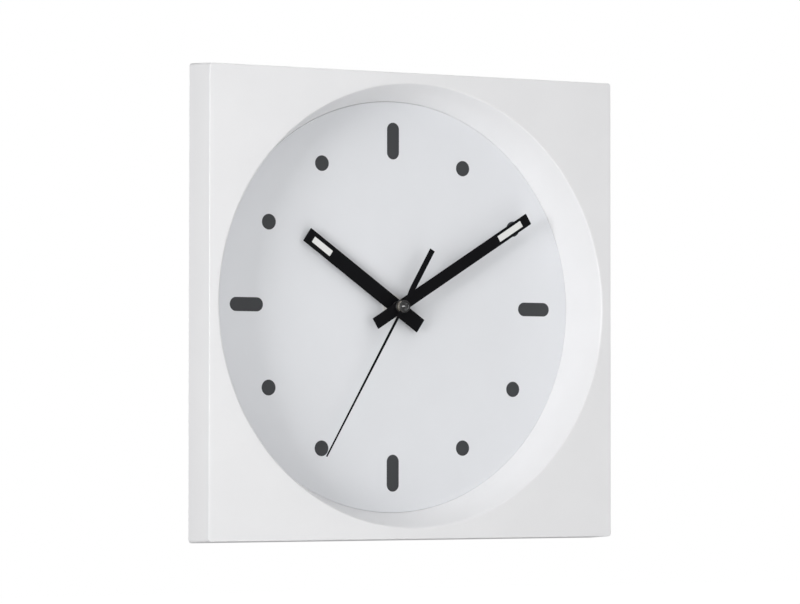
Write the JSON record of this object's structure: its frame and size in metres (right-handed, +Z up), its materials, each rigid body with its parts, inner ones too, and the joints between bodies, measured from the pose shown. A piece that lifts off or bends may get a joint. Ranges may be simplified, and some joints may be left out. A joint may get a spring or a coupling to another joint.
{
  "type": "wall clock",
  "caption": "Square wall clock with a deep round well, flat dial, three bar hands and a quartz movement that hangs on a nail.",
  "frame": {"origin": "on the wall plane, on the axis of the nail in the hanger's slot, 38 mm above the hands' axis", "axes": "+Y into the wall, along the hands' axis; +Z up through twelve on the dial; +X to the right as the dial is read"},
  "size_m": [0.303, 0.0515, 0.303],
  "materials": {
    "white_abs": "moulded, low gloss",
    "dial_white": "matt printed sheet",
    "hand_black": "matt black lacquer",
    "inlay_white": "matt paint fill",
    "brass": "turned",
    "steel": "zinc plated",
    "magnet_grey": "sintered",
    "movement_black": "moulded, fine texture",
    "acetal_white": "natural acetal",
    "rubber": "matt",
    "copper": "enamelled wire",
    "board_brown": "phenolic board",
    "chip_black": "cured resin",
    "battery_sleeve": "plain printed sleeve"
  },
  "bodies": {
    "clock": {"case_shell": "white_abs", "dial": "dial_white", "back_plate": "white_abs", "back_plate_screw_1": "steel", "back_plate_screw_2": "steel", "back_plate_screw_3": "steel", "back_plate_screw_4": "steel", "wall_bumper_left": "rubber", "wall_bumper_right": "rubber", "movement_gasket": "rubber", "dial_washer": "white_abs", "shaft_nut": "acetal_white", "movement_case": "movement_black", "movement_cover": "movement_black", "train_bridge": "movement_black", "stator": "steel", "coil_core": "steel", "coil_bobbin": "acetal_white", "coil_winding": "copper", "circuit_board": "board_brown", "quartz_crystal": "steel", "circuit_chip": "chip_black", "battery": "battery_sleeve", "positive_contact": "steel", "negative_contact": "steel"},
    "second_hand_set": {"second_hand": "hand_black", "second_hand_bush": "hand_black", "second_wheel": "acetal_white"},
    "minute_hand_set": {"minute_hand": "hand_black", "minute_hand_inlay": "inlay_white", "minute_hand_bush": "hand_black", "minute_pipe": "brass"},
    "hour_hand_set": {"hour_hand": "hand_black", "hour_hand_inlay": "inlay_white", "hour_hand_bush": "hand_black", "hour_wheel": "acetal_white"},
    "rotor_set": {"rotor": "steel", "rotor_magnet": "magnet_grey"},
    "intermediate_set": {"intermediate_wheel": "acetal_white"},
    "third_set": {"third_wheel": "acetal_white"},
    "centre_set": {"centre_wheel": "acetal_white"},
    "minute_wheel_set": {"minute_wheel": "acetal_white"},
    "setting_knob_set": {"setting_knob": "acetal_white"}
  },
  "joints": [
    {"name": "second_hand_spin", "type": "hinge", "parent": "clock", "child": "second_hand_set", "pos_m": [0, 0, -0.038], "axis": [0, 1, 0], "continuous": true},
    {"name": "intermediate_spin", "type": "hinge", "parent": "clock", "child": "intermediate_set", "pos_m": [-0.00779, 0, -0.0335], "axis": [0, 1, 0], "continuous": true},
    {"name": "rotor_spin", "type": "hinge", "parent": "clock", "child": "rotor_set", "pos_m": [-0.01469, 0, -0.03228], "axis": [0, 1, 0], "continuous": true},
    {"name": "third_spin", "type": "hinge", "parent": "clock", "child": "third_set", "pos_m": [0.0059, 0, -0.03097], "axis": [0, 1, 0], "continuous": true},
    {"name": "centre_spin", "type": "hinge", "parent": "clock", "child": "centre_set", "pos_m": [0, 0, -0.038], "axis": [0, 1, 0], "continuous": true},
    {"name": "minute_hand_spin", "type": "hinge", "parent": "clock", "child": "minute_hand_set", "pos_m": [0, 0, -0.038], "axis": [0, 1, 0], "continuous": true},
    {"name": "minute_wheel_spin", "type": "hinge", "parent": "clock", "child": "minute_wheel_set", "pos_m": [0.00846, 0, -0.04108], "axis": [0, 1, 0], "continuous": true},
    {"name": "hour_hand_spin", "type": "hinge", "parent": "clock", "child": "hour_hand_set", "pos_m": [0, 0, -0.038], "axis": [0, 1, 0], "continuous": true},
    {"name": "setting_knob_spin", "type": "hinge", "parent": "clock", "child": "setting_knob_set", "pos_m": [0.01732, 0, -0.03952], "axis": [0, 1, 0], "continuous": true}
  ],
  "couplings": [
    {"joint": "intermediate_spin", "follows": "second_hand_spin", "ratio": -5},
    {"joint": "rotor_spin", "follows": "second_hand_spin", "ratio": 30},
    {"joint": "third_spin", "follows": "second_hand_spin", "ratio": -0.13333},
    {"joint": "centre_spin", "follows": "second_hand_spin", "ratio": 0.016667},
    {"joint": "minute_wheel_spin", "follows": "minute_hand_spin", "ratio": -0.33333},
    {"joint": "hour_hand_spin", "follows": "minute_hand_spin", "ratio": 0.083333},
    {"joint": "setting_knob_spin", "follows": "minute_hand_spin", "ratio": 1}
  ]
}
